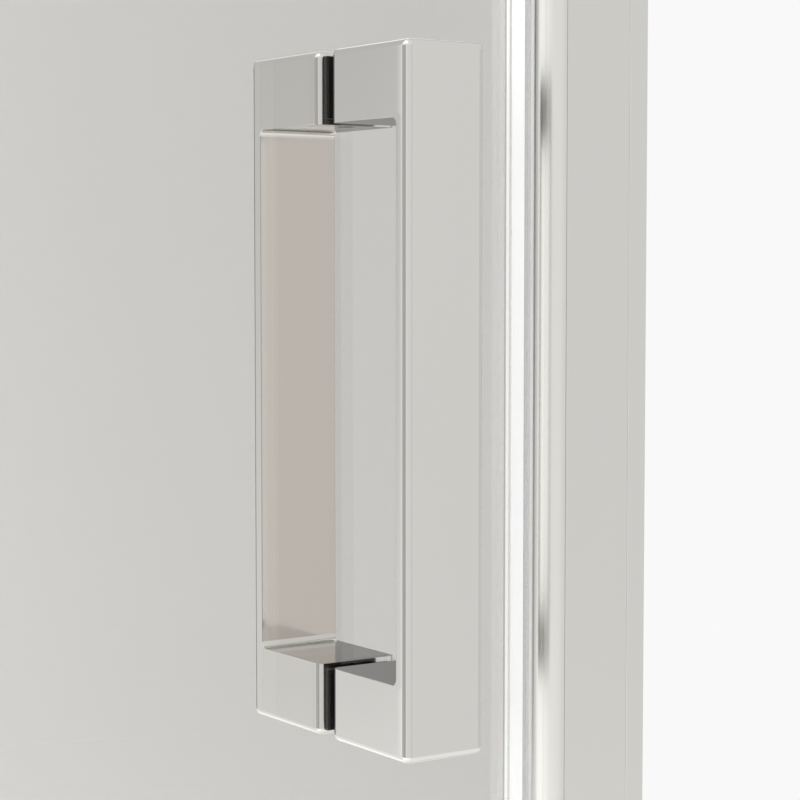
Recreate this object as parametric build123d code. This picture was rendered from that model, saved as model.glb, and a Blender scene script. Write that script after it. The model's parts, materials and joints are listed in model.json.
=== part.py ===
from build123d import *
import os
from math import dist, sqrt

# Corner shower enclosure: a hinged glass door in front and a fixed glass panel on the right.
# X runs along the door from the left wall, Y runs inward from the door, Z is up, in millimetres.
# The origin lies on the floor, in the middle of everything, the outer handle included.

# Overall size, handle left out
WIDTH = 914.0
DEPTH = 914.0
HEIGHT = 1829.0

# Glass
GLASS = 6.0

# Profiles
WALL = 1.5
SLIDE = 0.3
BUTT = 0.3
FIT = 0.2
CAP = 2.0
CAP_PEG = 6.0
RAIL_DEPTH = 25.0
HEADER_HEIGHT = 35.0
THRESHOLD_HEIGHT = 20.0
SIDE_RAIL_HEIGHT = 22.0
CHANNEL_DEPTH = 25.0
JAMB_END = 40.0
JAMB_SETBACK = 6.0
LIP_OFFSET = 12.0
LIP_DROP = 8.0
LIP_RISE = 10.0
LIP_START = 30.0
EDGE_SOFT = 0.5

# Corner post and its snap-on cover
POST_FACE = 25.0
COVER_FACE = 7.2
GROOVE = 0.05
SEAM = 0.15
CREASE = 0.2
POST_DEPTH = 28.25
TRACK_REACH = 44.25

# Side glass and what holds it
OUTER_GASKET = 1.75
INNER_GASKET = 3.0
GASKET_BAND = 12.0
RAIL_GASKET_BAND = 8.0
SIDE_GLASS_BITE = 24.0
SIDE_JAMB_BITE = 14.0
SIDE_GLASS_TOP_GAP = 8.0
SETTING_BLOCK = 5.0
SETTING_LENGTH = 50.0
SETTING_SHARE = 0.25
WEB_GAP = 1.05
RIB_GAP = 1.5

# Wall fixing
WALL_HOLE_R = 3.0
WALL_HOLES_OUTER = 1530.0
WALL_HOLES_INNER = 530.0

# Small screws of the frame
SCREW_R = 1.75
SCREW_CLEAR = 0.05
SCREW_HEAD_R = 3.2
SCREW_HEAD = 1.8
SCREW_GRIP = 3.0
SOCKET_R = 1.2
SOCKET_DEPTH = 1.0
JAMB_SCREW_SPREAD = 715.0
SNAP_CAP_R = 5.5
SNAP_CAP_HEIGHT = 3.2

# Brackets between rails and uprights
BRACKET = 2.0
BRACKET_ARM = 25.0
BRACKET_HOLE = 17.5
BRACKET_REACH = 24.0
BRACKET_RISE = 11.0
BRACKET_HOLE_INSET = 2.0
BRACKET_HOLE_RISE = 8.0

# Door glass
DOOR_BOTTOM = 27.0
DOOR_TOP_GAP = 5.0
EDGE_GAP = 7.95
TAIL = 11.5

# Seal on the door's free edge
SEAL_LEG = 1.0
SEAL_WEB = 0.8
SEAL_BITE = 9.0
SEAL_RIDGE = 2.2
SEAL_RIDGE_RISE = 0.5
TAPE = 0.5
TAPE_WIDTH = 4.7
CHAMBER_WIDTH = 4.3
CHAMBER_WALL = 0.7
MAGNET_CLEAR = 0.1

# Magnetic strip on the post
STRIP_GAP = 0.3
STRIP_THICK = 2.5
STRIP_SETBACK = 1.0
STRIP_CLEAR = 0.6

# Seals on the hinge side and the bottom
HINGE_SEAL_BITE = 7.5
FIN = 1.0
FIN_GAP = 0.3
BOTTOM_SEAL_BITE = 8.0
BOTTOM_FIN = 0.8
BOTTOM_FIN_OFFSET = 1.7
BOTTOM_FIN_GAP = 0.4
SEAL_JOIN = 0.3

# Hinges
HINGE_INSET = 250.0
AXIS_GAP = 16.0
PIN_R = 3.5
PIN_RUN = 0.05
PRESS = 0.02
BUSH_WALL = 1.15
FLANGE = 0.8
FLANGE_GAP = 0.1
ARM_HEIGHT = 9.6
ARM_R = 7.5
CORE_HEIGHT = 49.0
CORE_R = 6.3
CORE_REACH = 22.0
BRACKET_PLATE = 4.0
BRACKET_PLATE_BACK = 14.0
BRACKET_SCREW_OFFSET = 9.0
BRACKET_SCREW_SPREAD = 30.0
PLATE = 5.0
PLATE_START = 10.0
PLATE_END = 60.0
HINGE_PAD = 0.8
PAD_INSET = 1.0
PLATE_SCREW_R = 2.5
PLATE_SCREW_HEAD_R = 4.5
PLATE_SCREW_HEAD = 3.0
PLATE_SCREW_BITE = 3.0
PLATE_THREAD = 3.5
PLATE_SCREW_SPREAD = 28.0
PLATE_SCREW_CORE = 16.0
PLATE_SCREW_GLASS = 48.0
GLASS_HOLE_R = 5.0
CUT_CLEAR = 3.0
CUT_CORE_CLEAR = 0.5
CUT_ROUND = 5.0
EDGE_ROUND = 1.0

# Handle
HANDLE_Z = 1000.0
HANDLE_LENGTH = 200.0
HANDLE_WIDTH = 26.5
HANDLE_REACH = 38.5
HANDLE_GRIP = 5.25
HANDLE_LEG = 21.3
HANDLE_INSET = 57.0
HANDLE_ROUND = 2.0
HANDLE_INNER_ROUND = 2.0
PAD = 1.65
HANDLE_PAD_INSET = 1.7
STUD_R = 3.0
STUD_DEPTH = 12.0
STUD_END_GAP = 1.0
STUD_HOLE_R = 6.0
SET_SCREW_R = 2.5
SET_SCREW_OFFSET = 6.0
SET_SCREW_SUNK = 0.5

# Directions
RIGHT = (1, 0, 0)
LEFT = (-1, 0, 0)
INWARD = (0, 1, 0)
OUTWARD = (0, -1, 0)
UP = (0, 0, 1)
DOWN = (0, 0, -1)

# Two places nearer than this are the same place
SAME_PLACE = 0.01

# Places worked out from the sizes
nose_r = GLASS / 2 + OUTER_GASKET + WALL
track = GLASS + OUTER_GASKET + INNER_GASKET + 2 * WALL
handle_out = GLASS / 2 + PAD + HANDLE_REACH
handle_beyond = handle_out - nose_r - SLIDE - WALL
x_wall = -WIDTH / 2
x_out = WIDTH / 2 - SLIDE - WALL
y_back = (DEPTH + handle_beyond) / 2
y_front = y_back - DEPTH + WALL + SLIDE
y_rail = y_front + RAIL_DEPTH
y_door = y_front + nose_r
y_lip = y_door + LIP_OFFSET
x_glass = x_out - nose_r
x_track = x_out - track
x_cover = x_out - COVER_FACE
x_crease = x_cover - POST_FACE
y_track = y_front + TRACK_REACH
x_jamb = x_wall + JAMB_END
y_jamb = y_back - JAMB_END
x_axis = x_jamb + AXIS_GAP
x_tail = x_axis - TAIL
x_edge = x_crease - nose_r - EDGE_GAP
z_top = HEIGHT - CAP
z_header = z_top - HEADER_HEIGHT
z_door_top = z_header - DOOR_TOP_GAP
z_middle = z_top / 2
side_glass_front = y_track - SIDE_GLASS_BITE
side_glass_back = y_jamb + SIDE_JAMB_BITE
side_glass_bottom = WALL + SETTING_BLOCK
side_glass_top = z_top - SIDE_GLASS_TOP_GAP
face_front = y_door - GLASS / 2
face_back = y_door + GLASS / 2
strip_front = face_back + SEAL_LEG + STRIP_GAP
strip_back = strip_front + STRIP_THICK
x_strip = x_edge + STRIP_SETBACK
x_strip_end = x_crease - sqrt(nose_r**2 - (strip_front - y_door) ** 2) - STRIP_CLEAR
x_handle = x_edge - HANDLE_INSET - HANDLE_WIDTH / 2
core_half = CORE_HEIGHT / 2
arm_start = core_half + FLANGE_GAP + FLANGE
arm_end = arm_start + ARM_HEIGHT
cut_half = arm_end + CUT_CLEAR
hinge_heights = {"lower": HINGE_INSET, "upper": HEIGHT - HINGE_INSET}
jamb_screw_heights = [z_middle + step * JAMB_SCREW_SPREAD for step in (-1, 0, 1)]
wall_hole_heights = [z_middle + s * gap / 2 for gap in (WALL_HOLES_OUTER, WALL_HOLES_INNER) for s in (-1, 1)]
x_jamb_screw = x_wall + (JAMB_SETBACK + CHANNEL_DEPTH) / 2
y_jamb_screw = y_back - (JAMB_SETBACK + CHANNEL_DEPTH) / 2
header_screw_z = (z_header + z_top) / 2
threshold_screw_z = THRESHOLD_HEIGHT / 2
side_low_screw_z = BRACKET_HOLE_RISE
side_high_screw_z = z_top - side_low_screw_z
between_rails = (THRESHOLD_HEIGHT + BUTT, z_header - BUTT)
clamp_half = GLASS / 2 + HINGE_PAD


def block(x, y, z):
    """A box from one value to another on each axis."""
    middle = [(low + high) / 2 for low, high in (x, y, z)]
    size = [high - low for low, high in (x, y, z)]
    return Pos(*middle) * Box(*size)


def rod(radius, start, direction, length):
    """A round bar, or the cutter for a hole, from a point along a direction."""
    return extrude(Plane(origin=start, z_dir=direction) * Circle(radius), length)


def ring(outer, inner, start, direction, length):
    """A plain sleeve or washer."""
    return rod(outer, start, direction, length) - rod(inner, start, direction, length)


def stepped(start, direction, distance):
    """The point at a distance from another along a direction."""
    return tuple(s + d * distance for s, d in zip(start, direction))


def reverse(direction):
    return tuple(-d for d in direction)


def span(middle, half):
    return (middle - half, middle + half)


def edges_at(body, axis, corners):
    """The edges along an axis, given by where they cross the plane square to it."""
    found = []
    for edge in body.edges().filter_by(axis):
        place = [c for c, d in zip(edge.center(), axis.direction) if not d]
        if any(dist(place, corner) < SAME_PLACE for corner in corners):
            found.append(edge)
    return found


def soften(body, axis, corners):
    """Round the long edges of a profile."""
    return fillet(edges_at(body, axis, corners), EDGE_SOFT)


def screw(seat, direction, length, radius=SCREW_R, head_r=SCREW_HEAD_R, head=SCREW_HEAD):
    """A socket screw whose head sits on a seat and whose shank runs on along a direction."""
    top = stepped(seat, reverse(direction), head)
    body = rod(head_r, top, direction, head) + rod(radius, seat, direction, length)
    return body - rod(SOCKET_R, top, direction, SOCKET_DEPTH)


def save(name, *solids):
    """One file for each named piece, with its separate solids side by side."""
    whole = solids[0] if len(solids) == 1 else Compound(children=list(solids))
    export_step(whole, f"parts/{name}.step")


# Screws between wall channels and jambs


def front_jamb_screw_seats():
    y = y_rail + SLIDE + WALL
    return [((x_jamb_screw, y, z), OUTWARD) for z in jamb_screw_heights]


def side_jamb_screw_seats():
    x = x_track - SLIDE - WALL
    return [((x, y_jamb_screw, z), RIGHT) for z in jamb_screw_heights]


# Brackets between rails and uprights, each with its two screws


def rail_ends():
    """The two uprights that a front rail meets: where it meets them, and which way the rail runs."""
    return [(x_jamb, 1), (x_crease, -1)]


def front_rail_spans():
    """The heights between which the brackets stand inside the header and the threshold."""
    header = (z_header + WALL, z_top - WALL - FIT)
    threshold = (WALL, THRESHOLD_HEIGHT - WALL - FIT)
    return {"header": header, "threshold": threshold}


def front_bracket_screws(z):
    """Seats of the screws of the two brackets at one height: seat, direction, reach of the shank."""
    seats = []
    for x, run in rail_ends():
        into_upright = (x + run * BRACKET, (y_front + y_rail) / 2, z)
        seats.append((into_upright, LEFT if run > 0 else RIGHT, BRACKET + SCREW_GRIP))
        through_rail = (x + run * BRACKET_HOLE, y_rail, z)
        seats.append((through_rail, OUTWARD, WALL + BRACKET + SCREW_GRIP))
    return seats


def side_bracket_screws(z):
    """Seats of the screws of the two side brackets at one height, driven from inside the shower."""
    places = [y_track, y_jamb]
    half = BRACKET_REACH / 2 - BRACKET_HOLE_INSET
    shifts = (-half, half)
    return [((x_track, y + s, z), RIGHT, WALL + BRACKET) for y in places for s in shifts]


def all_bracket_screws():
    front = front_bracket_screws(header_screw_z) + front_bracket_screws(threshold_screw_z)
    side = side_bracket_screws(side_low_screw_z) + side_bracket_screws(side_high_screw_z)
    return front + side


def drill(body, seats, radius=SCREW_R + SCREW_CLEAR):
    """Holes for screws, through whatever the shank crosses."""
    for seat, direction, length in seats:
        body -= rod(radius, seat, direction, length)
    return body


# Fixed frame


def wall_channel_front():
    y = (y_front - SLIDE - WALL, y_rail + SLIDE + WALL)
    x_end = x_wall + CHANNEL_DEPTH
    body = block((x_wall, x_end), y, (0, z_top))
    body -= block((x_wall + WALL, x_end), (y[0] + WALL, y[1] - WALL), (0, z_top))
    for z in wall_hole_heights:
        body -= rod(WALL_HOLE_R, (x_wall, (y_front + y_rail) / 2, z), RIGHT, WALL)
    for seat, direction in front_jamb_screw_seats():
        body -= rod(SCREW_R + SCREW_CLEAR, seat, direction, WALL)
    return soften(body, Axis.Z, [(x_end, y[0]), (x_end, y[1])])


def wall_channel_side():
    x = (x_track - SLIDE - WALL, x_out + SLIDE + WALL)
    y_start = y_back - CHANNEL_DEPTH
    body = block(x, (y_start, y_back), (0, z_top))
    body -= block((x[0] + WALL, x[1] - WALL), (y_start, y_back - WALL), (0, z_top))
    for z in wall_hole_heights:
        body -= rod(WALL_HOLE_R, ((x_track + x_out) / 2, y_back, z), OUTWARD, WALL)
    for seat, direction in side_jamb_screw_seats():
        body -= rod(SCREW_R + SCREW_CLEAR, seat, direction, WALL)
    return soften(body, Axis.Z, [(x[0], y_start), (x[1], y_start)])


def hinge_bracket_screw_seats(z):
    x = x_jamb + BRACKET_PLATE
    y = y_door + BRACKET_SCREW_OFFSET
    half = BRACKET_SCREW_SPREAD / 2
    return [((x, y, z + s * half), LEFT, BRACKET_PLATE + WALL + SCREW_GRIP) for s in (-1, 1)]


def hinge_jamb():
    outer_x = (x_wall + JAMB_SETBACK, x_jamb)
    body = block(outer_x, (y_front, y_rail), (0, z_top))
    body -= block((outer_x[0] + WALL, x_jamb - WALL), (y_front + WALL, y_rail - WALL), (0, z_top))
    body = soften(body, Axis.Z, [(x_jamb, y_front), (x_jamb, y_rail)])
    for seat, direction in front_jamb_screw_seats():
        body -= rod(SCREW_R + SCREW_CLEAR, seat, direction, SLIDE + 2 * WALL)
    for z in hinge_heights.values():
        body = drill(body, hinge_bracket_screw_seats(z))
    return drill(body, front_bracket_screws(header_screw_z) + front_bracket_screws(threshold_screw_z))


def side_jamb():
    y = (y_jamb, y_back - JAMB_SETBACK)
    web = side_glass_back + WEB_GAP
    body = block((x_track, x_track + WALL), y, (0, z_top))
    body += block((x_out - WALL, x_out), y, (0, z_top))
    body += block((x_track, x_out), (web, web + WALL), (0, z_top))
    for seat, direction in side_jamb_screw_seats():
        body -= rod(SCREW_R + SCREW_CLEAR, seat, direction, SLIDE + 2 * WALL)
    return drill(body, side_bracket_screws(side_low_screw_z) + side_bracket_screws(side_high_screw_z))


def post_rib_front():
    """Front of the rib that the side glass stops short of."""
    return side_glass_front - RIB_GAP - WALL


def ease_seam(body, x):
    """A small flat on the front edge where the post and its cover meet."""
    return chamfer(edges_at(body, Axis.Z, [(x, y_front)]), SEAM)


def corner_post():
    x_box = x_track + WALL
    y_box = y_front + POST_DEPTH
    x_fin = x_cover - GROOVE
    y_rib = post_rib_front()
    tall = (0, z_top)
    body = block((x_crease, x_box), (y_front, y_box), tall)
    body -= block((x_crease + WALL, x_track), (y_front + WALL, y_box - WALL), tall)
    body += block((x_track, x_box), (y_box, y_track), tall)
    body += block((x_box, x_fin), (y_front, y_front + WALL), tall)
    body += block((x_fin - WALL, x_fin), (y_front + WALL, y_rib), tall)
    body += block((x_box, x_fin), (y_rib, y_rib + WALL), tall)
    # The rounded nose and the stop leg run only between the threshold and the header
    low, high = between_rails
    nose = ring(nose_r, nose_r - WALL, (x_crease, y_door, low), UP, high - low)
    body += nose - block((x_crease, x_crease + nose_r), span(y_door, nose_r), between_rails)
    body += block((x_strip, x_crease), (strip_back, strip_back + WALL), between_rails)
    # A fine crease where the nose meets the flat face, and an eased edge at the cover's seam
    body -= block(span(x_crease, CREASE / 2), (y_front, y_front + CREASE), tall)
    body = ease_seam(body, x_fin)
    body = soften(body, Axis.Z, [(x_crease, y_box)])
    return drill(body, all_bracket_screws())


def corner_cover():
    tall = (0, z_top)
    body = block((x_cover, x_out), (y_front, y_front + WALL), tall)
    body += block((x_cover, x_cover + WALL), (y_front + WALL, post_rib_front() - BUTT), tall)
    body += block((x_out - WALL, x_out), (y_front + WALL, y_track), tall)
    return soften(ease_seam(body, x_cover), Axis.Z, [(x_out, y_front)])


def front_tube(z):
    """A rail along the front, from the jamb to the post."""
    x = (x_jamb + BUTT, x_crease - BUTT)
    body = block(x, (y_front, y_rail), z)
    return body - block(x, (y_front + WALL, y_rail - WALL), (z[0] + WALL, z[1] - WALL))


def lip(z):
    """The splash lip behind the door, notched short of the hinges."""
    return block((x_axis + LIP_START, x_crease - BUTT), (y_lip, y_lip + WALL), z)


def header_rail():
    body = front_tube((z_header, z_top))
    body = soften(body, Axis.X, [(y, z) for y in (y_front, y_rail) for z in (z_header, z_top)])
    body += lip((z_header - LIP_DROP, z_header))
    return drill(body, front_bracket_screws(header_screw_z))


def threshold_rail():
    body = front_tube((0, THRESHOLD_HEIGHT))
    body = soften(body, Axis.X, [(y_front, THRESHOLD_HEIGHT), (y_rail, THRESHOLD_HEIGHT)])
    body += lip((THRESHOLD_HEIGHT, THRESHOLD_HEIGHT + LIP_RISE))
    return drill(body, front_bracket_screws(threshold_screw_z))


def side_rail_run():
    return (y_track + BUTT, y_jamb - BUTT)


def side_bottom_rail():
    body = block((x_track, x_out), side_rail_run(), (0, SIDE_RAIL_HEIGHT))
    body -= block((x_track + WALL, x_out - WALL), side_rail_run(), (WALL, SIDE_RAIL_HEIGHT))
    return drill(body, side_bracket_screws(side_low_screw_z))


def side_top_rail():
    low = z_top - SIDE_RAIL_HEIGHT
    body = block((x_track, x_out), side_rail_run(), (low, z_top))
    body -= block((x_track + WALL, x_out - WALL), side_rail_run(), (low, z_top - WALL))
    body = soften(body, Axis.Y, [(x_track, z_top), (x_out, z_top)])
    return drill(body, side_bracket_screws(side_high_screw_z))


def front_brackets(kind):
    """Two angles inside a front rail: one leg on the upright, one on the rail's inner wall."""
    low, high = front_rail_spans()[kind]
    screw_z = header_screw_z if kind == "header" else threshold_screw_z
    brackets = []
    for x, run in rail_ends():
        plate = block(sorted((x, x + run * BRACKET)), (y_front + WALL + FIT, y_rail - WALL), (low, high))
        arm_x = sorted((x, x + run * BRACKET_ARM))
        plate += block(arm_x, (y_rail - WALL - BRACKET, y_rail - WALL), (low, high))
        brackets.append(drill(plate, front_bracket_screws(screw_z)))
    return brackets


def side_rail_brackets():
    """Four angles in the glass channel, half in the upright and half in the rail."""
    x = (x_track + WALL, x_out - WALL - FIT)
    brackets = []
    for y_joint in (y_track, y_jamb):
        y = span(y_joint, BRACKET_REACH / 2)
        for floor, up, screw_z in ((WALL, 1, side_low_screw_z), (z_top - WALL, -1, side_high_screw_z)):
            body = block(x, y, sorted((floor, floor + up * BRACKET)))
            body += block((x[0], x[0] + BRACKET), y, sorted((floor, floor + up * BRACKET_RISE)))
            brackets.append(drill(body, side_bracket_screws(screw_z)))
    return brackets


def bracket_screws():
    return [screw(seat, way, length) for seat, way, length in all_bracket_screws()]


def jamb_screws():
    seats = front_jamb_screw_seats() + side_jamb_screw_seats()
    return [screw(seat, way, SLIDE + 2 * WALL + SCREW_GRIP) for seat, way in seats]


def jamb_screw_caps():
    caps = []
    for seat, way in front_jamb_screw_seats() + side_jamb_screw_seats():
        back = reverse(way)
        cap = rod(SNAP_CAP_R, seat, back, SNAP_CAP_HEIGHT)
        caps.append(cap - rod(SCREW_HEAD_R + FIT, seat, back, SCREW_HEAD + FIT))
    return caps


def corner_post_cap():
    y_box = y_front + POST_DEPTH
    plate = (z_top, HEIGHT)
    body = block((x_crease, x_out), (y_front, y_box), plate)
    body += block((x_track, x_out), (y_box, y_track), plate)
    inside = WALL + FIT
    peg_x = (x_crease + inside, x_track - FIT)
    return body + block(peg_x, (y_front + inside, y_box - inside), (z_top - CAP_PEG, z_top))


def front_channel_cap():
    y = (y_front - SLIDE - WALL, y_rail + SLIDE + WALL)
    body = block((x_wall, x_jamb), y, (z_top, HEIGHT))
    inside = WALL + FIT
    peg_x = (x_wall + JAMB_SETBACK + inside, x_jamb - inside)
    return body + block(peg_x, (y_front + inside, y_rail - inside), (z_top - CAP_PEG, z_top))


def side_channel_cap():
    x = (x_track - SLIDE - WALL, x_out + SLIDE + WALL)
    web_back = side_glass_back + WEB_GAP + WALL
    body = block(x, (y_jamb, y_back), (z_top, HEIGHT))
    peg_x = (x_track + WALL + FIT, x_out - WALL - FIT)
    peg_y = (web_back + FIT, y_back - JAMB_SETBACK - FIT)
    return body + block(peg_x, peg_y, (z_top - CAP_PEG, z_top))


def side_glass():
    x = span(x_glass, GLASS / 2)
    return block(x, (side_glass_front, side_glass_back), (side_glass_bottom, side_glass_top))


def side_gaskets(x):
    """Four strips that hold the side glass: in the post, in the jamb and in both rails."""
    rail_top = z_top - SIDE_RAIL_HEIGHT
    between = (SIDE_RAIL_HEIGHT + BUTT, rail_top - BUTT)
    return [
        block(x, (y_track - GASKET_BAND, y_track), between),
        block(x, (y_jamb, y_jamb + GASKET_BAND), between),
        block(x, side_rail_run(), (SIDE_RAIL_HEIGHT - RAIL_GASKET_BAND, SIDE_RAIL_HEIGHT)),
        block(x, side_rail_run(), (rail_top, rail_top + RAIL_GASKET_BAND)),
    ]


def setting_blocks():
    x = (x_track + WALL + FIT, x_out - WALL - FIT)
    run = side_glass_back - side_glass_front
    middles = [side_glass_front + run * part for part in (SETTING_SHARE, 1 - SETTING_SHARE)]
    return [block(x, span(y, SETTING_LENGTH / 2), (WALL, side_glass_bottom)) for y in middles]


def post_magnet_strip():
    return block((x_strip, x_strip_end), (strip_front, strip_back), between_rails)


# Hinges: the bracket and bushes stay on the jamb, the rest turns with the door


def hinge_arm_spans(z):
    return [(z + arm_start, z + arm_end), (z - arm_end, z - arm_start)]


def hinge_bracket(z):
    x_plate = x_jamb + BRACKET_PLATE
    body = block((x_jamb, x_plate), (y_front, y_door + BRACKET_PLATE_BACK), span(z, arm_end))
    for low, high in hinge_arm_spans(z):
        body += block((x_plate, x_axis), span(y_door, ARM_R), (low, high))
        body += rod(ARM_R, (x_axis, y_door, low), UP, high - low)
        bore = PIN_R + PIN_RUN + BUSH_WALL + PRESS
        body -= rod(bore, (x_axis, y_door, low), UP, high - low)
    return drill(body, hinge_bracket_screw_seats(z))


def hinge_bushes(z):
    """A flanged bush in each arm: the flange faces the core that turns between the arms."""
    bore = PIN_R + PIN_RUN
    bushes = []
    for way in (UP, DOWN):
        start = stepped((x_axis, y_door, z), way, arm_start - FLANGE)
        bush = ring(CORE_R, bore, start, way, FLANGE)
        bushes.append(bush + ring(bore + BUSH_WALL, bore, start, way, FLANGE + ARM_HEIGHT))
    return bushes


def hinge_pin(z):
    return rod(PIN_R, (x_axis, y_door, z - arm_end), UP, 2 * arm_end)


def plate_screw_places(z, through):
    half = PLATE_SCREW_SPREAD / 2
    return [(x_axis + through, z + s * half) for s in (-1, 1)]


def all_plate_screw_places(z):
    return plate_screw_places(z, PLATE_SCREW_CORE) + plate_screw_places(z, PLATE_SCREW_GLASS)


def hinge_core(z):
    """The knuckle in the glass cut-out: a barrel round the pin and a tongue between the plates."""
    body = rod(CORE_R, (x_axis, y_door, z - core_half), UP, CORE_HEIGHT)
    body += block((x_axis, x_axis + CORE_REACH), span(y_door, clamp_half), span(z, core_half))
    body -= rod(PIN_R + PRESS, (x_axis, y_door, z - core_half), UP, CORE_HEIGHT)
    for x, at in plate_screw_places(z, PLATE_SCREW_CORE):
        body -= rod(PLATE_SCREW_R + SCREW_CLEAR, (x, y_door - clamp_half, at), INWARD, 2 * clamp_half)
    return body


def clamp_plate(z, y):
    x = (x_axis + PLATE_START, x_axis + PLATE_END)
    return block(x, y, span(z, core_half))


def hinge_outer_plate(z):
    back = y_door - clamp_half
    plate = clamp_plate(z, (back - PLATE, back))
    front_edges = plate.faces().sort_by(Axis.Y)[0].edges()
    plate = fillet(front_edges, EDGE_ROUND)
    for x, at in all_plate_screw_places(z):
        plate -= rod(PLATE_SCREW_R + SCREW_CLEAR, (x, back, at), OUTWARD, PLATE_THREAD)
    return plate


def hinge_inner_plate(z):
    front = y_door + clamp_half
    plate = clamp_plate(z, (front, front + PLATE))
    back_edges = plate.faces().sort_by(Axis.Y)[-1].edges()
    plate = fillet(back_edges, EDGE_ROUND)
    for x, at in all_plate_screw_places(z):
        plate -= rod(PLATE_SCREW_R + FIT, (x, front, at), INWARD, PLATE)
        sink = (x, front + PLATE - PLATE_SCREW_HEAD, at)
        plate -= rod(PLATE_SCREW_HEAD_R + FIT, sink, INWARD, PLATE_SCREW_HEAD)
    return plate


def hinge_plate_screws(z):
    seat_y = y_door + clamp_half + PLATE - PLATE_SCREW_HEAD
    length = seat_y - (y_door - clamp_half) + PLATE_SCREW_BITE
    return [
        screw((x, seat_y, at), OUTWARD, length, PLATE_SCREW_R, PLATE_SCREW_HEAD_R, PLATE_SCREW_HEAD)
        for x, at in all_plate_screw_places(z)
    ]


def hinge_pads(z):
    """Pads between the plates and the glass, and a sleeve round each screw in the glass."""
    x = (x_axis + CORE_REACH + PAD_INSET, x_axis + PLATE_END - PAD_INSET)
    tall = span(z, core_half - PAD_INSET)
    solids = []
    for y in ((face_front - HINGE_PAD, face_front), (face_back, face_back + HINGE_PAD)):
        pad = block(x, y, tall)
        for hole_x, at in plate_screw_places(z, PLATE_SCREW_GLASS):
            pad -= rod(PLATE_SCREW_R + FIT, (hole_x, y[0], at), INWARD, HINGE_PAD)
        solids.append(pad)
    for hole_x, at in plate_screw_places(z, PLATE_SCREW_GLASS):
        start = (hole_x, face_front, at)
        solids.append(ring(GLASS_HOLE_R - FIT, PLATE_SCREW_R + SCREW_CLEAR, start, INWARD, GLASS))
    return solids


# Door glass and its seals


def handle_bolt_places():
    x = x_handle + HANDLE_WIDTH / 2
    half = (HANDLE_LENGTH - HANDLE_LEG) / 2
    return [(x, HANDLE_Z + s * half) for s in (-1, 1)]


def door_glass():
    """A pane with a notch for each hinge. A notch's far corners are round, as tempered glass needs."""
    y = (face_front, face_back)
    x_cut = x_axis + ARM_R + CUT_CLEAR
    x_tongue = x_axis + CORE_REACH + CUT_CORE_CLEAR
    body = block((x_tail, x_edge), y, (DOOR_BOTTOM, z_door_top))
    for z in hinge_heights.values():
        body -= block((x_tail, x_cut), y, span(z, cut_half))
        body -= block((x_axis, x_tongue), y, span(z, core_half + CUT_CORE_CLEAR))
        for x, at in plate_screw_places(z, PLATE_SCREW_GLASS):
            body -= rod(GLASS_HOLE_R, (x, face_front, at), INWARD, GLASS)
    for x, at in handle_bolt_places():
        body -= rod(STUD_HOLE_R, (x, face_front, at), INWARD, GLASS)
    corners = [(x_cut, at) for z in hinge_heights.values() for at in span(z, cut_half)]
    return fillet(edges_at(body, Axis.Y, corners), CUT_ROUND)


def door_magnet_seal():
    """A clear channel on the free edge, with a lip in front and a chamber for the magnet beyond it."""
    tall = (DOOR_BOTTOM, z_door_top)
    x_lip = x_edge - SEAL_BITE
    x_web = x_edge + SEAL_WEB
    front = face_front - TAPE - SEAL_LEG
    back = face_back + SEAL_LEG
    body = block((x_lip, x_web), (front, face_front - TAPE), tall)
    body += block((x_lip, x_lip + SEAL_RIDGE), (front - SEAL_RIDGE_RISE, face_front), tall)
    body += block((x_edge, x_web), (front, back), tall)
    body += block((x_lip, x_web), (face_back, back), tall)
    chamber = block((x_web, x_web + CHAMBER_WIDTH), (y_door, back), tall)
    hollow_x = (x_web + CHAMBER_WALL, x_web + CHAMBER_WIDTH - CHAMBER_WALL)
    return body + (chamber - block(hollow_x, (y_door + CHAMBER_WALL, back - CHAMBER_WALL), tall))


def door_magnet():
    x_web = x_edge + SEAL_WEB
    inside = CHAMBER_WALL + MAGNET_CLEAR
    x = (x_web + inside, x_web + CHAMBER_WIDTH - inside)
    return block(x, (y_door + inside, face_back + SEAL_LEG - inside), (DOOR_BOTTOM, z_door_top))


def seal_bond_strip():
    """White strip that bonds the seal's front leg to the glass."""
    return block((x_edge - TAPE_WIDTH, x_edge), (face_front - TAPE, face_front), (DOOR_BOTTOM, z_door_top))


def door_hinge_seal():
    """Three lengths on the hinge edge: below, between and above the hinges."""
    x_web = x_tail - SEAL_LEG
    legs_x = (x_web, x_tail + HINGE_SEAL_BITE)
    lower, upper = hinge_heights["lower"], hinge_heights["upper"]
    lengths = [
        (DOOR_BOTTOM, lower - cut_half),
        (lower + cut_half, upper - cut_half),
        (upper + cut_half, z_door_top),
    ]
    pieces = []
    for tall in lengths:
        body = block(legs_x, (face_front - SEAL_LEG, face_back + SEAL_LEG), tall)
        body -= block((x_tail, legs_x[1]), (face_front, face_back), tall)
        body += block((x_jamb + FIN_GAP, x_web), span(y_door, FIN / 2), tall)
        pieces.append(body)
    return pieces


def door_bottom_seal():
    """A clear channel under the glass, with two fins that stop just above the threshold."""
    x = (x_tail + HINGE_SEAL_BITE + SEAL_JOIN, x_edge - SEAL_BITE - SEAL_JOIN)
    web = DOOR_BOTTOM - SEAL_LEG
    body = block(x, (face_front - SEAL_LEG, face_back + SEAL_LEG), (web, DOOR_BOTTOM + BOTTOM_SEAL_BITE))
    body -= block(x, (face_front, face_back), (DOOR_BOTTOM, DOOR_BOTTOM + BOTTOM_SEAL_BITE))
    for side in (-1, 1):
        y = sorted(y_door + side * d for d in (BOTTOM_FIN_OFFSET, BOTTOM_FIN_OFFSET + BOTTOM_FIN))
        body += block(x, y, (THRESHOLD_HEIGHT + BOTTOM_FIN_GAP, web))
    return body


# Handle: two equal halves clamped through the glass


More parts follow.
